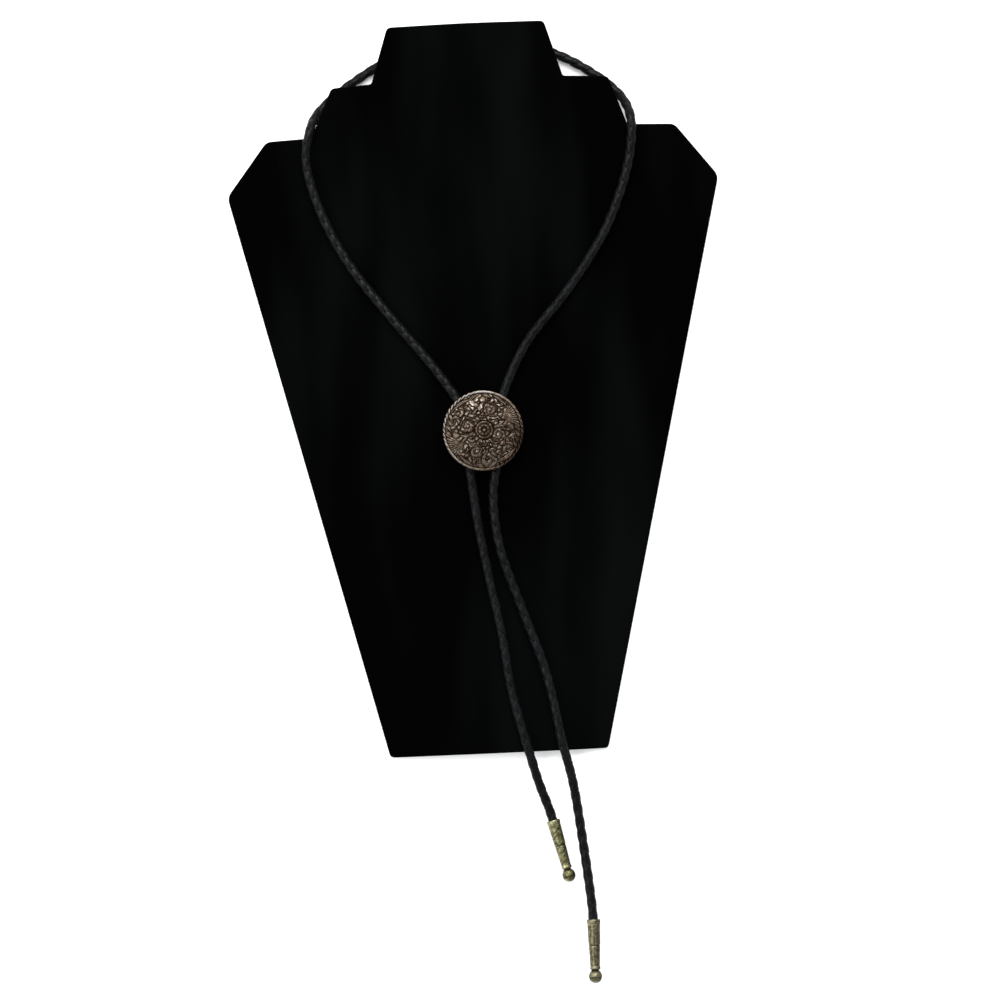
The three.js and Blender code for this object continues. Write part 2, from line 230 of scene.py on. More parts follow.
@dataclass(frozen=True)
class RayonVelvet:
    """Black rayon velvet, woven and brushed: a dense upright pile that swallows the light.

    The eye sees a flat black, with faint paler streaks painted into its colour as sheen, the light that the pile
    catches. The streaks are about 40 mm wide. A tuft is about 0.2 mm across, which is too fine to show, so the tufts
    are drawn at 0.6 mm.
    """

    deep: str = "#010101"
    # The paler colour of the streaks, which is painted sheen.
    painted_sheen: str = "#060707"
    streak: float = 70.0
    tuft: float = 0.6

    def material(self) -> bpy.types.Material:
        """The finish as a Blender material."""
        made, tree, shader = bare_material("black_rayon_velvet", {
            "Roughness": 1.0,
            "Specular IOR Level": 0.01,
            "Sheen Weight": 0.008,
            "Sheen Roughness": 0.4,
            "Sheen Tint": linear("#8f959c"),
        })
        places = add_node(tree, "ShaderNodeTexCoord", {}).outputs["Object"]
        wide = add_node(tree, "ShaderNodeMapping", {"Scale": per_size(self.streak, (0.6, 2.6, 1))}, {"Vector": places})
        streaks = add_node(tree, "ShaderNodeTexNoise", {"Scale": 1.0, "Detail": 2.0}, {"Vector": wide.outputs[0]})
        # Painted sheen: paler streaks in the velvet's colour.
        shades = {"steps": {0.45: self.deep, 0.75: self.painted_sheen}}
        colour = add_node(tree, "ShaderNodeValToRGB", shades, {"Fac": streaks.outputs["Fac"]})
        fine = add_node(tree, "ShaderNodeMapping", {"Scale": per_size(self.tuft)}, {"Vector": places})
        tufts = add_node(tree, "ShaderNodeTexNoise", {"Scale": 1.0, "Detail": 2.0}, {"Vector": fine.outputs[0]})
        pile = add_node(tree, "ShaderNodeBump", {"Distance": 0.12 * MM}, {"Height": tufts.outputs["Fac"]})
        tree.links.new(colour.outputs["Color"], shader.inputs["Base Color"])
        tree.links.new(pile.outputs["Normal"], shader.inputs["Normal"])
        return made


@dataclass(frozen=True)
class DyedLeather:
    """Tanned leather lace, dyed black through and lightly waxed: a dark satin, duller along its cut edges.

    The blotches are where the wax has rubbed off. The grain is about 0.15 mm, which is too fine to show, so it is
    drawn at 0.4 mm.
    """

    face: str = "#050506"
    worn: str = "#0e0f10"
    blotch: float = 5.0
    grain: float = 0.4

    def material(self) -> bpy.types.Material:
        """The finish as a Blender material."""
        made, tree, shader = bare_material("black_waxed_leather", {"IOR": 1.5, "Specular IOR Level": 0.085})
        places = add_node(tree, "ShaderNodeTexCoord", {}).outputs["Object"]
        wide = add_node(tree, "ShaderNodeMapping", {"Scale": per_size(self.blotch)}, {"Vector": places})
        blotches = add_node(tree, "ShaderNodeTexNoise", {"Scale": 1.0, "Detail": 3.0}, {"Vector": wide.outputs[0]})
        shades = {"steps": {0.35: self.face, 0.7: self.worn}}
        colour = add_node(tree, "ShaderNodeValToRGB", shades, {"Fac": blotches.outputs["Fac"]})
        edge = add_node(tree, "ShaderNodeAttribute", {"attribute_name": "lace_edge"}).outputs["Fac"]
        dulling = {"From Min": 0.6, "From Max": 1.0, "To Min": 0.3, "To Max": 0.8}
        gloss = add_node(tree, "ShaderNodeMapRange", dulling, {"Value": edge})
        fine = add_node(tree, "ShaderNodeMapping", {"Scale": per_size(self.grain)}, {"Vector": places})
        grain = add_node(tree, "ShaderNodeTexNoise", {"Scale": 1.0, "Detail": 2.0}, {"Vector": fine.outputs[0]})
        creases = add_node(tree, "ShaderNodeBump", {"Distance": 0.03 * MM}, {"Height": grain.outputs["Fac"]})
        tree.links.new(colour.outputs["Color"], shader.inputs["Base Color"])
        tree.links.new(gloss.outputs["Result"], shader.inputs["Roughness"])
        tree.links.new(creases.outputs["Normal"], shader.inputs["Normal"])
        return made


@dataclass(frozen=True)
class AntiquedCasting:
    """A plated zinc casting that was stained dark and then rubbed, so the stain stays in the hollows.

    The eye sees paler worn ridges on a dark ground, with a soft, uneven gloss. Where it is handled most the plating
    is rubbed through to the pale casting. The rubbing is uneven over about 1.5 mm. The skin of the casting has pits
    of about 0.2 mm, which are drawn at 0.5 mm.
    """

    name: str
    stain: str
    metal: str
    worn: str
    bare: str
    gloss: float
    dull: float
    rubbing: float = 1.5
    pit: float = 0.5

    def material(self) -> bpy.types.Material:
        """The finish as a Blender material."""
        made, tree, shader = bare_material(self.name, {"Metallic": 1.0})
        places = add_node(tree, "ShaderNodeTexCoord", {}).outputs["Object"]
        # The relief mark holds real wear and stain, plus painted light on the concho's rim and round the tips.
        relief = add_node(tree, "ShaderNodeAttribute", {"attribute_name": "relief"}).outputs["Fac"]
        wide = add_node(tree, "ShaderNodeMapping", {"Scale": per_size(self.rubbing)}, {"Vector": places})
        blotches = add_node(tree, "ShaderNodeTexNoise", {"Scale": 1.0, "Detail": 3.0}, {"Vector": wide.outputs[0]})
        limits = {"From Min": 0.3, "From Max": 0.7, "To Min": -0.2, "To Max": 0.2}
        uneven = add_node(tree, "ShaderNodeMapRange", limits, {"Value": blotches.outputs["Fac"]})
        added = {0: relief, 1: uneven.outputs["Result"]}
        wear_and_painted_light = add_node(tree, "ShaderNodeMath", {"operation": "ADD"}, added).outputs["Value"]
        shades = {"steps": {0.08: self.stain, 0.42: self.metal, 0.76: self.worn, 0.92: self.bare}}
        colour = add_node(tree, "ShaderNodeValToRGB", shades, {"Fac": wear_and_painted_light})
        polish = {"From Min": 0.1, "From Max": 0.9, "To Min": self.dull, "To Max": self.gloss}
        gloss = add_node(tree, "ShaderNodeMapRange", polish, {"Value": wear_and_painted_light})
        fine = add_node(tree, "ShaderNodeMapping", {"Scale": per_size(self.pit)}, {"Vector": places})
        pits = add_node(tree, "ShaderNodeTexNoise", {"Scale": 1.0, "Detail": 2.0}, {"Vector": fine.outputs[0]})
        skin = add_node(tree, "ShaderNodeBump", {"Distance": 0.03 * MM}, {"Height": pits.outputs["Fac"]})
        tree.links.new(colour.outputs["Color"], shader.inputs["Base Color"])
        tree.links.new(gloss.outputs["Result"], shader.inputs["Roughness"])
        tree.links.new(skin.outputs["Normal"], shader.inputs["Normal"])
        return made


@dataclass(frozen=True)
class DrawnSteel:
    """Bare steel strip and tube, drawn lengthwise: a grey satin with fine lines along its channels.

    The lines are about 0.05 mm apart, which is too fine to show, so they are drawn at 0.25 mm.
    """

    colour: str = "#8b8783"
    line: float = 0.25

    def material(self) -> bpy.types.Material:
        """The finish as a Blender material."""
        settings = {"Base Color": linear(self.colour), "Metallic": 1.0}
        made, tree, shader = bare_material("drawn_steel", settings)
        places = add_node(tree, "ShaderNodeTexCoord", {}).outputs["Object"]
        drawn = add_node(tree, "ShaderNodeMapping", {"Scale": per_size(self.line, (1, 24, 1))}, {"Vector": places})
        lines = add_node(tree, "ShaderNodeTexNoise", {"Scale": 1.0, "Detail": 3.0}, {"Vector": drawn.outputs[0]})
        limits = {"From Min": 0.3, "From Max": 0.7, "To Min": 0.28, "To Max": 0.46}
        gloss = add_node(tree, "ShaderNodeMapRange", limits, {"Value": lines.outputs["Fac"]})
        scored = add_node(tree, "ShaderNodeBump", {"Distance": 0.02 * MM}, {"Height": lines.outputs["Fac"]})
        tree.links.new(gloss.outputs["Result"], shader.inputs["Roughness"])
        tree.links.new(scored.outputs["Normal"], shader.inputs["Normal"])
        return made


@dataclass(frozen=True)
class WhitePaper:
    """Matt white paper on a light table, with a tooth that is about 3 mm across. Its glow keeps shadows faint."""

    colour: str = "#f9f9f9"
    glow: float = 0.25
    tooth: float = 3.0

    def material(self) -> bpy.types.Material:
        """The finish as a Blender material."""
        white = linear(self.colour)
        settings = {"Base Color": white, "Roughness": 0.9, "Emission Color": white, "Emission Strength": self.glow}
        made, tree, shader = bare_material("white_paper", settings)
        places = add_node(tree, "ShaderNodeTexCoord", {}).outputs["Object"]
        wide = add_node(tree, "ShaderNodeMapping", {"Scale": per_size(self.tooth)}, {"Vector": places})
        fibres = add_node(tree, "ShaderNodeTexNoise", {"Scale": 1.0, "Detail": 2.0}, {"Vector": wide.outputs[0]})
        felt = add_node(tree, "ShaderNodeBump", {"Distance": 0.05 * MM}, {"Height": fibres.outputs["Fac"]})
        tree.links.new(felt.outputs["Normal"], shader.inputs["Normal"])
        return made


# The studio


@dataclass
class Studio:
    """The camera above the object at the photograph's angle, the lights, and the pale floor.

    The photograph looks straight down, with the board turned a little to the left, and is 480 mm across.
    """

    view_width: float = 480.0
    picture_centre: tuple = (5.7, 2.3)
    turn: float = -2.6
    camera_height: float = 4000.0
    mean_height: float = 4.0
    sensor: float = 36.0
    floor_half_width: float = 1500.0

    def camera(self) -> bpy.types.Object:
        """A camera straight above the picture's centre, whose lens takes in the view's width."""
        data = bpy.data.cameras.new("camera")
        data.clip_end = 100
        data.sensor_width = self.sensor
        data.lens = self.sensor * (self.camera_height - self.mean_height) / self.view_width
        made = bpy.data.objects.new("camera", data)
        made.location = (self.picture_centre[0] * MM, self.picture_centre[1] * MM, self.camera_height * MM)
        made.rotation_euler = (0, 0, math.radians(self.turn))
        bpy.context.scene.collection.objects.link(made)
        bpy.context.scene.camera = made
        return made

    def floor(self) -> bpy.types.Object:
        """A pale sheet just under the object, which isn't part of it."""
        half = self.floor_half_width * MM
        mesh = bpy.data.meshes.new("floor")
        mesh.from_pydata([(-half, -half, 0), (half, -half, 0), (half, half, 0), (-half, half, 0)], [], [(0, 1, 2, 3)])
        mesh.materials.append(WhitePaper().material())
        made = bpy.data.objects.new("floor", mesh)
        bpy.context.scene.collection.objects.link(made)
        return made

    def soft_box(self, name: str, place: tuple, width: float, power: float) -> bpy.types.Object:
        """A square soft box that faces the object.

        Args:
            name: The light's name.
            place: Where it stands, in metres.
            width: Its width in metres.
            power: Its power in watts.

        Returns:
            The light.
        """
        data = bpy.data.lights.new(name, "AREA")
        data.size = width
        data.energy = power
        made = bpy.data.objects.new(name, data)
        distance = math.dist(place, (0, 0, 0))
        made.location = place
        made.rotation_euler = (math.acos(place[2] / distance), 0, math.atan2(place[0], -place[1]))
        bpy.context.scene.collection.objects.link(made)
        return made

    def lights(self) -> None:
        """A large soft box beyond the neck, a weaker one at the left, and an even surround."""
        self.soft_box("key_box", (0.2, 1.8, 2.2), 2.0, 105)
        self.soft_box("fill_box", (-1.9, 0.3, 1.9), 2.0, 50)
        world = bpy.data.worlds.new("surround")
        world.use_nodes = True
        background = world.node_tree.nodes["Background"]
        background.inputs["Color"].default_value = linear("#f4f6f8")
        background.inputs["Strength"].default_value = 0.8
        bpy.context.scene.world = world
        bpy.context.scene.view_settings.view_transform = "Standard"


# The cord


# The cord's middle line in millimetres, listed along its run from inside the left tip to inside the right.
CORD_ROUTE = (
    (25.6, -158.3, 3.25),
    (22.7, -147.3, 3.3),
    (18.4, -134.5, 5.6),
    (13.9, -117.5, 10.8),
    (7.3, -89.5, 11.5),
    (3.6, -60.5, 12.3),
    (-1.5, -32.0, 13.0),
    (-5.9, -3.0, 14.0),
    (-8.6, 28.5, 15.8),
    (-8.8, 43.3, 15.7),
    (-21.3, 64.5, 14.9),
    (-41.7, 91.0, 14.4),
    (-61.5, 118.5, 13.1),
    (-74.8, 146.5, 12.4),
    (-79.7, 169.5, 12.6),
    (-77.4, 182.5, 13.6),
    (-73.4, 191.2, 5.8),
    (-58.2, 204.0, 2.7),
    (-30.0, 218.9, 2.3),
    (4.5, 225.5, 2.3),
    (38.0, 216.8, 2.3),
    (58.3, 205.8, 2.7),
    (72.3, 193.4, 5.6),
    (76.5, 182.4, 13.2),
    (75.0, 164.0, 13.0),
    (63.3, 132.2, 13.5),
    (44.3, 103.6, 14.5),
    (21.5, 76.5, 15.2),
    (10.8, 56.0, 15.2),
    (6.8, 43.3, 15.7),
    (6.5, 28.5, 15.8),
    (2.5, 4.0, 13.9),
    (4.7, -20.7, 13.2),
    (14.0, -50.5, 12.3),
    (24.0, -81.5, 10.9),
    (30.2, -114.5, 9.9),
    (34.3, -133.0, 5.6),
    (37.7, -160.0, 2.5),
    (41.0, -194.5, 3.2),
    (41.4, -207.0, 3.25),
)


class Lay(Enum):
    """Which way a strand winds round the cord, as the sign of its angle."""

    RIGHT = 1
    LEFT = -1


@dataclass
class BraidedCord:
    """A round braid of four flat leather laces, two that wind right and two that wind left.

    Each lace passes over the next lace of the other lay and under the one after it.
    """

    radius: float = 2.4
    pitch: float = 13.0
    lace_half_width: float = 2.0
    lace_half_thickness: float = 0.36
    weave_swing: float = 0.22
    lace_sides: int = 12
    step: float = 0.75
    heart_radius: float = 1.3
    lace_squareness: float = 0.5
    lace_crown: float = 0.4

    def middle_line(self, per_stretch: int = 24) -> Array:
        """The route as one smooth curve.

        It is a centripetal Catmull-Rom spline: between two picked points it is the cubic whose slopes come from
        their neighbours, with each stretch's share of the parameter the square root of its length.

        Args:
            per_stretch: How many steps each stretch between two picked points has.

        Returns:
            Points in millimetres, from the left tip to the right.
        """
        route = np.array(CORD_ROUTE)
        full = np.concatenate([[2 * route[0] - route[1]], route, [2 * route[-1] - route[-2]]])
        before, start, end, after = full[:-3], full[1:-2], full[2:-1], full[3:]
        stretches = ((before, start), (start, end), (end, after))
        last, this, following = (np.sqrt(np.linalg.norm(b - a, axis=1))[:, None] for a, b in stretches)
        leaving = (start - before) / last - (end - before) / (last + this) + (end - start) / this
        reaching = (end - start) / this - (after - start) / (this + following) + (after - end) / following
        leaving, reaching = leaving * this, reaching * this
        square = 3 * (end - start) - 2 * leaving - reaching
        cube = 2 * (start - end) + leaving + reaching
        share = np.linspace(0, 1, per_stretch, endpoint=False)[None, :, None]
        parts = [a[:, None] for a in (start, leaving, square, cube)]
        curve = parts[0] + parts[1] * share + parts[2] * share**2 + parts[3] * share**3
        return np.concatenate([curve.reshape(-1, 3), route[-1:]])

    def even_line(self) -> tuple[Array, Array]:
        """The distance along the cord every step, and the middle line there."""
        line = self.middle_line()
        along = np.concatenate([[0], np.cumsum(np.linalg.norm(np.diff(line, axis=0), axis=1))])
        even = np.linspace(0, along[-1], round(along[-1] / self.step) + 1)
        return even, np.stack([np.interp(even, along, line[:, k]) for k in range(3)], axis=1)

    def place(self, along: Array, turn: Array, out: Array) -> Array:
        """Points given by their distance along the cord, angle round it and distance from its middle line.

        The frame at each place is the line's direction, the level direction across it, and their cross product,
        so the cord doesn't twist. A slow roll is added, as a laid cord has.

        Args:
            along: Distances along the cord.
            turn: Angles round it, in radians, from straight up.
            out: Distances from the middle line.

        Returns:
            The points in millimetres.
        """
        even, line = self.even_line()
        forward = np.gradient(line, axis=0)
        forward /= np.linalg.norm(forward, axis=1, keepdims=True)
        across = np.cross(forward, [0, 0, 1])
        across /= np.linalg.norm(across, axis=1, keepdims=True)
        up = np.cross(across, forward)
        at_along = [[np.interp(along, even, part[:, k]) for k in range(3)] for part in (line, across, up)]
        middle, side, top = (np.stack(part, axis=-1) for part in at_along)
        rolled = turn + 0.5 * np.sin(along / 61) + 0.35 * np.sin(along / 23 + 1.3)
        beyond = np.clip(along, None, 0) + np.clip(along - even[-1], 0, None)
        end = np.where((beyond < 0)[..., None], forward[0], forward[-1]) * beyond[..., None]
        return middle + end + out[..., None] * (np.sin(rolled)[..., None] * side + np.cos(rolled)[..., None] * top)

    def lace(self, lay: Lay, phase: float) -> Surface:
        """One flat lace of the braid.

        Its middle winds round the cord once a pitch. It swings out and in twice a turn, as the cosine of twice its
        angle, flattened. Its section is a superellipse that lies along the cord's surface, square to the lace, and
        its thickness falls off from its middle as the square of the share across, so that it is crowned.

        Args:
            lay: Which way it winds.
            phase: Its angle at the cord's start, in radians.

        Returns:
            The lace as a closed shell.
        """
        even, _ = self.even_line()
        length = even[-1]
        steps = np.linspace(self.lace_half_width, length - self.lace_half_width, len(even))[:, None]
        around = 2 * math.pi * steps / self.pitch
        swing = np.cos(2 * around)
        swing = np.sign(swing) * np.abs(swing) ** 0.75 * lay.value
        between = self.radius - self.weave_swing - self.lace_half_thickness
        slope = math.atan(2 * math.pi * (between + self.weave_swing / 2) / self.pitch)
        corner = 2 * math.pi * np.arange(self.lace_sides)[None, :] / self.lace_sides
        squared = [np.sign(f(corner)) * np.abs(f(corner)) ** self.lace_squareness for f in (np.cos, np.sin)]
        lateral = self.lace_half_width * squared[0]
        height = self.lace_half_thickness * squared[1] * (1 - self.lace_crown * squared[0] ** 2)
        along = steps - lay.value * lateral * math.sin(slope)
        turn = lay.value * around + phase + lateral * math.cos(slope) / (between + self.weave_swing)
        out = between + self.weave_swing * swing + height
        edge = np.abs(squared[0]) + 0 * steps
        return shell(self.place(along, turn, out), marks={"lace_edge": edge})

    def heart(self) -> Surface:
        """The thin round core that closes the small gaps between the laces."""
        even, _ = self.even_line()
        turn = 2 * math.pi * np.arange(8)[None, :] / 8 + 0 * even[:, None]
        out = np.full_like(turn, self.heart_radius)
        return shell(self.place(even[:, None] + 0 * turn, turn, out), marks={"lace_edge": np.ones_like(turn)})

    def build(self) -> bpy.types.Object:
        laces = [self.lace(lay, phase) for lay in Lay for phase in (0.0, math.pi)]
        made = piece("braided_leather_cord", joined([*laces, self.heart()]), DyedLeather().material())
        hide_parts("braided_cord")
        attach(made, "root")
        return made


# The display board


@dataclass(frozen=True)
class Corner:
    """A pair of corners of the board's outline: how far right and left, how high, and where the rounding starts."""

    right: float
    left: float
    up: float
    radius: float


@dataclass
class DisplayBoard:
    """A stiff board covered in black velvet, gently arched across, with its velvet turned over the edges."""

    foot_y: float = -118.5
    foot_half_width: float = 52.5
    shoulder_half_width: float = 117.0
    shoulder_height: float = 271.5
    thickness: float = 4.0
    camber_per_half_width: float = 0.1026
    land_depth: float = 1.0
    middle_up: float = 230.0
    edge_round: float = 1.4
    outline_step: float = 0.85
    rings: int = 30
    corners: tuple[Corner, ...] = (
        Corner(52.3, 52.4, -0.5, 2.0),
        Corner(117.5, 118.5, 271.9, 3.0),
        Corner(97.4, 98.5, 297.4, 2.5),
        Corner(74.9, 76.8, 298.1, 0.8),
        Corner(66.5, 66.2, 321.4, 1.8),
        Corner(44.9, 46.9, 322.5, 0.8),
        Corner(36.9, 38.2, 349.2, 2.0),
    )
    crown_up: float = 349.7
    crown_radius: float = 12.0

    def half_width(self, y: Array) -> Array:
        """Half of the width that the board's taper has at each height."""
        taper = (self.shoulder_half_width - self.foot_half_width) / self.shoulder_height
        return self.foot_half_width + taper * (y - self.foot_y)

    def arch(self, x: Array, y: Array) -> Array:
        """The arch's height: the camber times the half-width, times one less the square of the share across."""
        half = self.half_width(y)
        return self.camber_per_half_width * (half - x**2 / half) - self.land_depth

    def outline(self) -> Array:
        """The board's outline as points in order, each corner a parabola between the two ends of its rounding."""
        right = [(c.right, self.foot_y + c.up, c.radius) for c in self.corners]
        left = [(-c.left, self.foot_y + c.up, c.radius) for c in reversed(self.corners)]
        table = np.array([*right, (0, self.foot_y + self.crown_up, self.crown_radius), *left])
        at, radius = table[:, :2], table[:, 2:]
        ahead, behind = np.roll(at, -1, axis=0) - at, np.roll(at, 1, axis=0) - at
        start = at + behind / np.linalg.norm(behind, axis=1, keepdims=True) * radius
        end = at + ahead / np.linalg.norm(ahead, axis=1, keepdims=True) * radius
        share = np.linspace(0, 1, 7)[None, :, None]
        start, at, end = start[:, None], at[:, None], end[:, None]
        loop = ((1 - share) ** 2 * start + 2 * share * (1 - share) * at + share**2 * end).reshape(-1, 2)
        loop = np.concatenate([loop, loop[:1]])
        along = np.concatenate([[0], np.cumsum(np.linalg.norm(np.diff(loop, axis=0), axis=1))])
        even = np.linspace(0, along[-1], round(along[-1] / self.outline_step), endpoint=False)
        return np.stack([np.interp(even, along, loop[:, k]) for k in range(2)], axis=1)

    def surface(self) -> Surface:
        """The covered board: rings from the middle of the front out to the edge, round it, and back behind.

        The edge is a quarter round at the front and at the back with a short wall between them. A ring's points
        move in from the outline by the quarter round's sine, and its height runs from the back's to the front's.
        """
        outline = self.outline()
        ahead = np.roll(outline, -1, axis=0) - np.roll(outline, 1, axis=0)
        inward = np.stack([-ahead[:, 1], ahead[:, 0]], axis=1)
        inward /= np.linalg.norm(inward, axis=1, keepdims=True)
        middle = np.array([0.0, self.foot_y + self.middle_up])
        inner = outline + inward * self.edge_round
        shares = np.linspace(0.02, 1, self.rings)[:, None, None]
        flat = middle + (inner - middle) * shares
        quarter = np.linspace(0, math.pi / 2, 6)[1:, None, None]
        turned = inner - inward * self.edge_round * np.sin(quarter)
        drop = self.edge_round * (1 - np.cos(quarter[..., 0]))
        level_front = np.concatenate([flat, turned])
        front = self.arch(level_front[..., 0], level_front[..., 1]) + self.thickness
        back = np.maximum(0, self.arch(level_front[..., 0], level_front[..., 1]))
        drops = np.concatenate([np.zeros((self.rings, 1)), drop])
        top = np.dstack([level_front, front - drops])
        bottom = np.dstack([level_front, back + drops])[::-1]
        return shell(np.concatenate([top, bottom]))

    def build(self) -> bpy.types.Object:
        """Makes the board and puts it on the body."""
        made = piece("velvet_display_board", self.surface(), RayonVelvet().material())
        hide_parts("display_board")
        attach(made, "root")
        return made


# The slide


@dataclass(frozen=True)
class Scroll:
    """A scroll of the pattern, or a small flower where its coil is small: a coil with curved lobes all round it."""

    x: float
    y: float
    size: float
    coil_radius: float
    coil_pitch: float
    hand: float
    lobes: float
    bend: float
    turn: float


@dataclass(frozen=True)
class Leaf:
    """A raised leaf along a curve from its stem past a bend to its tip, widest near its middle."""

    stem: tuple[float, float]
    bend: tuple[float, float]
    tip: tuple[float, float]
    width: float


@dataclass(frozen=True)
class Bud:
    """A raised round bud."""

    x: float
    y: float
    radius: float


def ridge(distance: Array, width: Array | float) -> Array:
    """A rounded ridge: one less the square of the distance's share of the width, and nothing past the width."""
    return np.clip(1 - (distance / width) ** 2, 0, None)


def rounded(wave: Array) -> Array:
    """A row of rounded forms with narrow grooves between them: the root of the sine's size at half turns."""
    return np.abs(np.sin(math.pi * wave)) ** 0.55


@dataclass
class Concho:
    """The round cast front of the slide, with its raised western scrolls, leaves and fans."""

    x: float = -0.9
    y: float = 35.8
    back_z: float = 18.1
    radius: float = 19.25
    rim_thickness: float = 1.8
    rim_inner: float = 17.9
    dome_rise: float = 3.2
    wall: float = 1.6
    hollow_radius: float = 15.6
    seat_radius: float = 5.0
    rim_bevel: float = 0.4
    rings: int = 138
    sectors: int = 480
    ground: float = -0.15
    lobe_height: float = 0.55
    leaf_height: float = 0.55
    vein_depth: float = 0.25
    bud_height: float = 0.7
    palm_height: float = 0.3
    ray_height: float = 0.5
    rim_height: float = 0.5
    groove: float = 0.4
    sway: float = 0.3
    fan_x: float = -10.0
    fan_y: float = -5.2
    fan_inner: float = 1.4
    fan_from: float = 158.0
    fan_to: float = 252.0
    fan_rays: float = 9.0
    fan_bend: float = 1.4
    rosette_x: float = 0.6
    rosette_y: float = 0.3
    ring_radius: float = 3.8
    ring_width: float = 0.6
    petal_ring: float = 2.15
    petals: int = 8
    rim_nicks: int = 48
    # The angle round the rim where its painted highlight is brightest, in radians; it is darkest opposite.
    rim_light_turn: float = 2.5
    scrolls: tuple[Scroll, ...] = (
        Scroll(-7.2, 2.4, 1.2, 3.3, 1.9, 1, 10, 0.45, 0.3),
        Scroll(3.5, 9.8, 1.15, 3.1, 1.8, -1, 10, -0.45, 0),
        Scroll(-1.4, 13.6, 0.95, 0.9, 3.0, 1, 4, 0.22, 0.2),
        Scroll(-11.6, 10.2, 0.8, 0.9, 3.0, 1, 5, 0.39, 0.1),
        Scroll(-5.6, 9.4, 0.8, 0.8, 3.0, 1, 5, -0.31, 0.4),
        Scroll(8.6, 13.4, 0.7, 0.8, 3.0, 1, 4, 0.26, 0.1),
        Scroll(-2.0, 7.0, 0.55, 0.6, 3.0, 1, 4, 0.22, 0.1),
        Scroll(-13.6, 5.0, 0.8, 0.9, 3.0, 1, 5, 0.49, 0.6),
        Scroll(-4.6, -3.0, 0.6, 0.8, 3.0, 1, 4, 0.26, 0.6),
        Scroll(9.2, 9.3, 0.65, 0.8, 3.0, 1, 4, 0.26, 0.6),
        Scroll(3.4, 14.6, 0.6, 0.7, 3.0, 1, 4, 0.26, 0.35),
        Scroll(-8.2, 12.6, 0.55, 0.7, 3.0, 1, 4, 0.26, 0),
        Scroll(0.6, 5.9, 0.5, 0.5, 3.0, 1, 4, 0.26, 0),
        Scroll(-11.4, -1.2, 0.55, 0.6, 3.0, 1, 4, 0.26, 0.2),
    )
    leaves: tuple[Leaf, ...] = (
        Leaf((-15.6, 8.8), (-12.4, 13.4), (-5.6, 15.2), 1.1),
        Leaf((-5.8, 14.6), (-4.4, 16.8), (-1.0, 17.7), 0.9),
        Leaf((0.0, 17.7), (2.2, 16.8), (4.2, 15.8), 0.9),
        Leaf((5.2, 17.2), (9.4, 15.2), (11.4, 11.6), 1.1),
        Leaf((8.6, 17.0), (13.0, 13.4), (14.6, 9.4), 1.0),
        Leaf((11.6, 15.2), (15.4, 11.0), (16.8, 6.6), 0.9),
        Leaf((-4.4, -0.6), (-7.4, -2.9), (-10.6, -1.8), 0.8),
        Leaf((-16.6, 8.6), (-15.2, 7.8), (-14.2, 5.4), 0.75),
        Leaf((-17.5, 6.0), (-15.9, 5.3), (-14.9, 2.8), 0.75),
        Leaf((-18.0, 3.2), (-16.4, 2.6), (-15.2, 0.1), 0.75),
        Leaf((-18.1, 0.3), (-16.5, -0.2), (-15.0, -2.6), 0.75),
        Leaf((-17.8, -2.5), (-15.8, -2.5), (-13.0, -4.4), 0.7),
    )
    buds: tuple[Bud, ...] = (
        Bud(-7.1, 2.3, 0.85),
        Bud(3.4, 9.8, 0.95),
        Bud(2.8, 6.3, 0.7),
        Bud(4.9, 7.0, 0.6),
        Bud(-12.2, 10.6, 0.85),
        Bud(-8.4, -2.8, 0.8),
        Bud(-0.9, -5.3, 0.75),
        Bud(-2.8, -5.9, 0.75),
        Bud(-5.6, 14.2, 0.9),
    )

    def foliage(self, x: Array, y: Array) -> Array:
        """The scrolls and small flowers that fill the face, each with a turned copy on the other side.

        A place belongs to the scroll whose distance over its size is least, and a groove runs where two scrolls
        meet. Inside the coil's radius the wave is the radius over the coil's pitch plus the share of a turn, and the
        coil is cut into beads. Outside it the wave counts the lobes round the scroll, bent as the radius grows.
        The whole is swayed by two slow sines, as carving by hand is.
        """
        x, y = (
            x + self.sway * (np.sin(1.1 * y + 0.4) + 0.6 * np.sin(2.7 * y + 1.9 * x)),
            y + self.sway * (np.sin(1.3 * x + 2.0) + 0.6 * np.sin(2.3 * x - 2.1 * y)),
        )
        table = np.array([astuple(scroll) for scroll in self.scrolls])
        half = np.concatenate([np.ones(len(table)), -np.ones(len(table))])
        table = np.concatenate([table, table])
        across = half * x[..., None] - table[:, 0]
        along = half * y[..., None] - table[:, 1]
        away = np.hypot(across, along) / table[:, 2]
        order = np.argsort(away, axis=-1)
        nearest, second = (np.take_along_axis(away, order[..., k : k + 1], -1)[..., 0] for k in (0, 1))
        own = order[..., :1]
        turn = np.take_along_axis(np.arctan2(along, across), own, -1)[..., 0] / (2 * math.pi)
        _, _, size, coil, pitch, hand, lobes, bend, start = np.moveaxis(table[own[..., 0]], -1, 0)
        radius = nearest * size
        beads = 0.35 + 0.65 * rounded(9 * turn + radius / pitch)
        spiral = beads * rounded(0.5 + radius / pitch + hand * turn)
        lobed = rounded(lobes * (turn + start) + bend * (radius - coil))
        height = np.where(radius < coil, spiral, lobed) * np.clip(np.abs(radius - coil) / self.groove, 0, 1)
        border = np.clip((second - nearest) * size / (1.5 * self.groove), 0, 1)
        return self.ground + (self.lobe_height * height - self.ground) * border

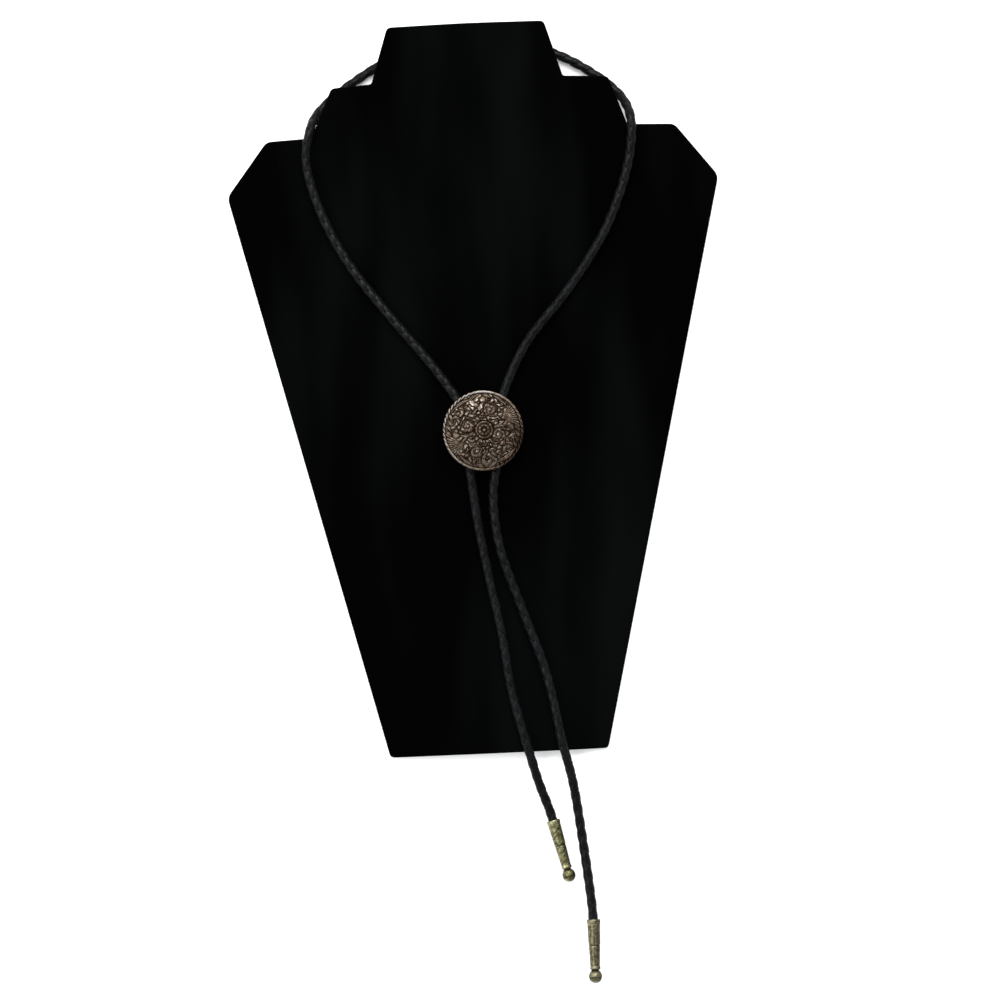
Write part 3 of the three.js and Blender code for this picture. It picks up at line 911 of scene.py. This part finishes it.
    def with_leaf(self, height: Array, x: Array, y: Array, leaf: Leaf) -> Array:
        """Lays a leaf over the heights: ridges along a parabola, with a cut vein down it and a groove round it."""
        share = np.linspace(0, 1, 40)[:, None]
        stem, bend, tip = np.array(leaf.stem), np.array(leaf.bend), np.array(leaf.tip)
        line = (1 - share) ** 2 * stem + 2 * share * (1 - share) * bend + share**2 * tip
        width = leaf.width * (0.35 + 0.65 * np.sin(math.pi * share[:, 0] ** 0.8))
        away = np.hypot(x[..., None] - line[:, 0], y[..., None] - line[:, 1])
        reach = (away / width).min(axis=-1)
        body = self.leaf_height * ridge(reach, 1.0) ** 0.6 - self.vein_depth * ridge(away.min(axis=-1), 0.3)
        grooved = np.where(reach < 1.3, np.minimum(height, self.ground + 0.1), height)
        return np.where(reach < 1, body, grooved)

    def with_fan(self, height: Array, x: Array, y: Array) -> Array:
        """Lays a shell-like fan over the heights: a smooth palm, and bent rays that deepen towards the rim."""
        across, along = x - self.fan_x, y - self.fan_y
        radius = np.hypot(across, along)
        turn = np.degrees(np.arctan2(along, across)) % 360 + self.fan_bend * (radius - self.fan_inner)
        share = (turn - self.fan_from) / (self.fan_to - self.fan_from)
        deepening = np.clip((radius - self.fan_inner) / 3.5, 0, 1)
        rays = self.palm_height + (self.ray_height * rounded(share * self.fan_rays) - self.palm_height) * deepening
        return np.where((share > 0) & (share < 1), rays, height)

    def rosette(self, x: Array, y: Array) -> tuple[Array, Array]:
        """The distance from the rosette's middle, and its height: a ring, a ring of petals, and a dot."""
        across, along = x - self.rosette_x, y - self.rosette_y
        radius, turn = np.hypot(across, along), np.arctan2(along, across) / (2 * math.pi)
        ring = 0.7 * self.leaf_height * ridge(radius - self.ring_radius, self.ring_width) ** 0.6
        ring = ring * (0.55 + 0.45 * rounded(2 * self.petals * turn))
        petals = 0.75 * self.leaf_height * ridge(radius - self.petal_ring, 0.7) ** 0.6
        petals = petals * (0.15 + 0.85 * rounded(self.petals * turn))
        dot = self.bud_height * ridge(radius, 0.9)
        return radius, np.max([ring, petals, dot, np.full_like(ring, self.ground)], axis=0)

    def relief(self, x: Array, y: Array) -> Array:
        """The cast relief's height above the plain dome at each place."""
        height = self.foliage(x, y)
        halves = ((x, y), (-x, -y))
        for half_x, half_y in halves:
            for leaf in self.leaves:
                height = self.with_leaf(height, half_x, half_y, leaf)
            for bud in self.buds:
                raised = self.bud_height * ridge(np.hypot(half_x - bud.x, half_y - bud.y), bud.radius)
                height = np.maximum(height, raised)
        for half_x, half_y in halves:
            height = self.with_fan(height, half_x, half_y)
        radius, rosette = self.rosette(x, y)
        edge = self.ring_radius + self.ring_width
        height = np.where(radius < edge + self.groove, np.where(radius < edge, rosette, self.ground), height)
        distance = np.hypot(x, y)
        rim = self.rim_height * np.clip((distance - self.rim_inner) / 0.3, 0, 1) * self.roped(x, y)
        return np.where(distance > self.rim_inner, rim, height * np.clip((self.rim_inner - distance) / 0.25, 0, 1))

    def roped(self, x: Array, y: Array) -> Array:
        """The rim's slanting nicks, as shares of its height: worn away at the top and bottom, clear on both sides."""
        turn = np.arctan2(y, x) / (2 * math.pi)
        clear = np.clip(0.5 + 0.8 * np.cos(2 * math.pi * 2 * (turn - 0.43)), 0, 1)
        return 1 - 0.85 * clear * (1 - rounded(self.rim_nicks * turn + 0.8 * np.hypot(x, y)) ** 1.8)

    def dome(self, distance: Array) -> Array:
        """The plain dome's height above the rim's back: a parabola inside the rim."""
        share = np.minimum(1, distance / self.rim_inner)
        return self.rim_thickness + self.dome_rise * (1 - share**2)

    def surface(self) -> Surface:
        """Rings from the middle of the front out to the rim, round it, and back along the hollow behind."""
        turn = 2 * math.pi * np.arange(self.sectors)[None, :] / self.sectors
        front = np.linspace(0.06, self.radius - self.rim_bevel, self.rings)[:, None]
        x, y = front * np.cos(turn), front * np.sin(turn)
        relief = self.relief(x, y)
        face = np.dstack([x, y, self.dome(front) + relief])
        edge_height = self.rim_thickness + self.rim_height
        back = np.array([
            (self.radius - 0.12, edge_height - 0.12),
            (self.radius, edge_height - 0.5),
            (self.radius, 0.3),
            (self.radius - 0.3, 0.0),
            (self.hollow_radius + 0.2, 0.0),
            (self.hollow_radius, 0.2),
        ])
        hollow = np.linspace(self.hollow_radius, self.seat_radius, 12)
        inside = np.stack([hollow, np.maximum(0.2, self.dome(hollow) - self.wall)], axis=1)
        profile = np.concatenate([back, inside[1:], [(0.3, inside[-1, 1])]])
        rest = np.dstack([profile[:, :1] * np.cos(turn), profile[:, :1] * np.sin(turn), profile[:, 1:] + 0 * turn])
        wear_and_painted_light = np.clip(0.17 + relief, 0, 0.83)
        # Painted light on the rim: lighter towards the upper left and darker towards the lower right.
        painted_rim_light = 0.35 * np.cos(turn - self.rim_light_turn)
        wear_and_painted_light = np.where(front > self.rim_inner, 0.95 * self.roped(x, y) - 0.15 + painted_rim_light, wear_and_painted_light)
        mark = np.concatenate([wear_and_painted_light, np.full((len(profile), self.sectors), 0.45)])
        return shell(np.concatenate([face, rest]), marks={"relief": mark}).moved(self.x, self.y, self.back_z)

    def build(self) -> bpy.types.Object:
        """Makes the concho and puts it on the body."""
        finish = AntiquedCasting("antiqued_copper", "#110a06", "#3a2d23", "#645a4f", "#8b8884", 0.38, 0.6)
        made = piece("cast_concho", self.surface(), finish.material())
        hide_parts("concho")
        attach(made, "root")
        return made


@dataclass
class SlideClasp:
    """The plain steel back of the slide: two round channels for the cord, a bar between them and a boss."""

    x: float = -1.0
    y: float = 35.8
    z: float = 15.9
    channel_offset: float = 7.5
    length: float = 12.0
    tube_radius: float = 3.4
    bore_radius: float = 2.75
    web_thickness: float = 1.2
    boss_radius: float = 4.0
    boss_top: float = 5.06
    lip: float = 0.2
    sides: int = 64

    def revolved(self, profile: Array, ends: Ends) -> Surface:
        """A profile of radius and height turned round the vertical axis."""
        turn = 2 * math.pi * np.arange(self.sides)[None, :] / self.sides
        radius, height = profile[:, :1], profile[:, 1:]
        return shell(np.dstack([radius * np.cos(turn), radius * np.sin(turn), height + 0 * turn]), ends)

    def channel(self, side: int) -> Surface:
        """A tube along Y whose wall turns back into its bore, with its lips rounded."""
        half, lip = self.length / 2, self.lip
        outer, inner = self.tube_radius, self.bore_radius
        profile = np.array([
            (outer, -half + lip),
            (outer, half - lip),
            (outer - lip, half),
            (inner + lip, half),
            (inner, half - lip),
            (inner, -half + lip),
            (inner + lip, -half),
            (outer - lip, -half),
        ])
        tube = self.revolved(profile, Ends.JOINED)
        along_y = tube.points[:, [0, 2, 1]] * [1, 1, -1]
        return Surface(along_y, tube.quads, tube.triangles).facing_out().moved(side * self.channel_offset, 0, 0)

    def web(self) -> Surface:
        """The flat bar that joins the channels' tops, as a rounded rectangle carried upwards."""
        turn = 2 * math.pi * np.arange(self.sides) / self.sides
        ring = [np.sign(f(turn)) * np.abs(f(turn)) ** 0.12 for f in (np.cos, np.sin)]
        half_x, half_y, half_z = self.channel_offset, self.length / 2 - self.lip, self.web_thickness / 2
        levels = [(-half_z, 0.97), (-half_z + 0.15, 1.0), (half_z - 0.15, 1.0), (half_z, 0.97)]
        rings = [np.stack([half_x * s * ring[0], half_y * s * ring[1], 0 * turn + z], axis=1) for z, s in levels]
        return shell(np.array(rings)).moved(0, 0, self.tube_radius - half_z)

    def boss(self) -> Surface:
        """The round boss that the concho sits on."""
        low, high, r = self.tube_radius - self.web_thickness / 2, self.boss_top, self.boss_radius
        profile = np.array([(r, low), (r, high - self.lip), (r - self.lip, high)])
        return self.revolved(profile, Ends.CAPPED).moved(0.1, 0, 0)

    def build(self) -> bpy.types.Object:
        """Makes the clasp and puts it on the body."""
        surface = joined([self.channel(-1), self.channel(1), self.web(), self.boss()])
        made = piece("slide_clasp_back", surface.moved(self.x, self.y, self.z), DrawnSteel().material())
        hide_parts("slide_clasp")
        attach(made, "root")
        return made


# The tips


class Face(Enum):
    """Which side of a tip lies uppermost, as its roll about its own axis in radians."""

    CURLS = 0.0
    FLUTES = math.pi


@dataclass
class CordTip:
    """A cast tip: a mouth ring, an engraved panel, a ring, a fluted taper, a neck and a ball."""

    name: str
    node: str
    mouth_x: float
    mouth_y: float
    towards_x: float
    towards_y: float
    face: Face
    ball_rubbed: float
    finish: AntiquedCasting
    length: float = 30.5
    mouth_radius: float = 3.25
    ball_radius: float = 3.2
    socket_radius: float = 2.5
    socket_depth: float = 6.4
    axis_z: float = 3.25
    ring_step: float = 0.11
    sectors: int = 96
    cut_depth: float = 0.055
    # The angle round the tip where its painted light is brightest, in radians.
    painted_light_turn: float = 0.4
    profile: tuple = (
        (5.9, 1.85),
        (6.4, 1.85),
        (6.7, 2.4),
        (7.0, 2.5),
        (7.5, 2.45),
        (7.8, 2.38),
        (8.1, 2.3),
        (17.5, 2.68),
        (17.8, 2.58),
        (18.2, 2.58),
        (18.5, 2.74),
        (18.8, 2.8),
        (28.0, 3.03),
        (28.3, 2.96),
        (28.6, 3.12),
        (28.9, 3.25),
        (30.2, 3.25),
        (30.5, 3.1),
    )

    def radius_at(self, up: Array) -> Array:
        """The plain radius at each height above the ball's end: the ball's circle, and above it the profile."""
        ball = np.sqrt(np.clip(self.ball_radius**2 - (up - self.ball_radius) ** 2, 0, None))
        ups, radii = np.array(self.profile).T
        return np.where(up < ups[0], ball, np.interp(up, ups, radii))

    def engraving(self, up: Array, turn: Array) -> Array:
        """The relief on the body, from 0 in the cuts to 1 on the raised metal.

        One side has curls, which are waves up the tip that swing round with the turn. The other side has flutes.
        The two fade into each other as the cosine of the turn. The ball has a line scored round it, and so has the
        body below its middle ring. A band of painted shade darkens the neck.
        """
        flutes = np.abs(np.sin(5 * turn)) ** 0.6
        curls = 0.5 + 0.5 * np.sin(2 * math.pi * up / 2.6 + 3 * turn + 1.4 * np.sin(4 * turn + up))
        side = 0.5 + 0.5 * np.cos(turn)
        cut = np.where((up > 8.3) & (up < 28.0), 0.34 + 0.3 * (side * curls + (1 - side) * flutes), 0.66)
        cut = np.where(up < 6.0, self.ball_rubbed, cut)
        scored = np.exp(-(((up - 2.6) / 0.25) ** 2)) + np.exp(-(((up - 18.0) / 0.25) ** 2))
        # The band at the neck is painted shade.
        return cut * (1 - 0.8 * np.clip(scored + np.exp(-(((up - 6.1) / 0.5) ** 2)), 0, 1))

    def painted_light_and_shade(self, turn: Array) -> Array:
        """Painted light and shade round the tip: lighter along the top, a little to one side, and darker down both
        flanks.
        """
        return 0.3 + 0.7 * np.clip(np.cos(turn - self.painted_light_turn), 0, 1) ** 0.8

    def surface(self) -> Surface:
        """Rings from the ball's end up the engraved body to the mouth, and back down the socket."""
        ups = np.linspace(0.02, self.length, round(self.length / self.ring_step))[:, None]
        turn = 2 * math.pi * np.arange(self.sectors)[None, :] / self.sectors
        cut = self.engraving(ups, turn + self.face.value)
        panels = (ups > 8.2) & (ups < 28.0) | (ups < 5.0)
        radius = self.radius_at(ups) - np.where(panels, self.cut_depth, 0.0) * (1 - cut)
        socket_up = self.length - self.socket_depth
        inner = np.array([
            (self.socket_radius + 0.15, self.length),
            (self.socket_radius, self.length - 0.2),
            (self.socket_radius, socket_up),
            (0.1, socket_up),
        ])
        radius = np.concatenate([np.maximum(radius, 0.02), inner[:, :1] + 0 * turn])
        back = np.concatenate([ups, inner[:, 1:]]) + 0 * radius - self.length
        # The mark is the engraving's stain times the painted light and shade round the tip.
        mark = np.concatenate([cut * self.painted_light_and_shade(turn), np.full((len(inner), self.sectors), 0.1)])
        direction = np.array([self.towards_x, self.towards_y]) / math.hypot(self.towards_x, self.towards_y)
        side, lift = radius * np.sin(turn), radius * np.cos(turn)
        x = self.mouth_x - back * direction[0] + side * direction[1]
        y = self.mouth_y - back * direction[1] - side * direction[0]
        return shell(np.dstack([x, y, self.axis_z + lift]), marks={"relief": mark})

    def build(self) -> bpy.types.Object:
        """Makes the tip and puts it on the body."""
        made = piece(self.name, self.surface(), self.finish.material())
        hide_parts(self.node)
        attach(made, "root")
        return made


def main() -> None:
    """Builds the studio and the pieces in order."""
    studio = Studio()
    studio.camera()
    BraidedCord().build()
    DisplayBoard().build()
    Concho().build()
    SlideClasp().build()
    bright = AntiquedCasting("antiqued_brass", "#1a190c", "#5b593c", "#969273", "#aaa88c", 0.32, 0.5)
    dull = AntiquedCasting("antiqued_brass_dull", "#1b190f", "#4e4a35", "#7f7962", "#98917c", 0.42, 0.6)
    CordTip("cast_tip_left", "tip_left", 24.2, -152.5, 0.235, -0.972, Face.CURLS, 0.45, bright).build()
    CordTip("cast_tip_right", "tip_right", 41.4, -200.9, -0.01, -1.0, Face.FLUTES, 0.62, dull).build()
    studio.floor()
    studio.lights()


if __name__ == "__main__":
    main()
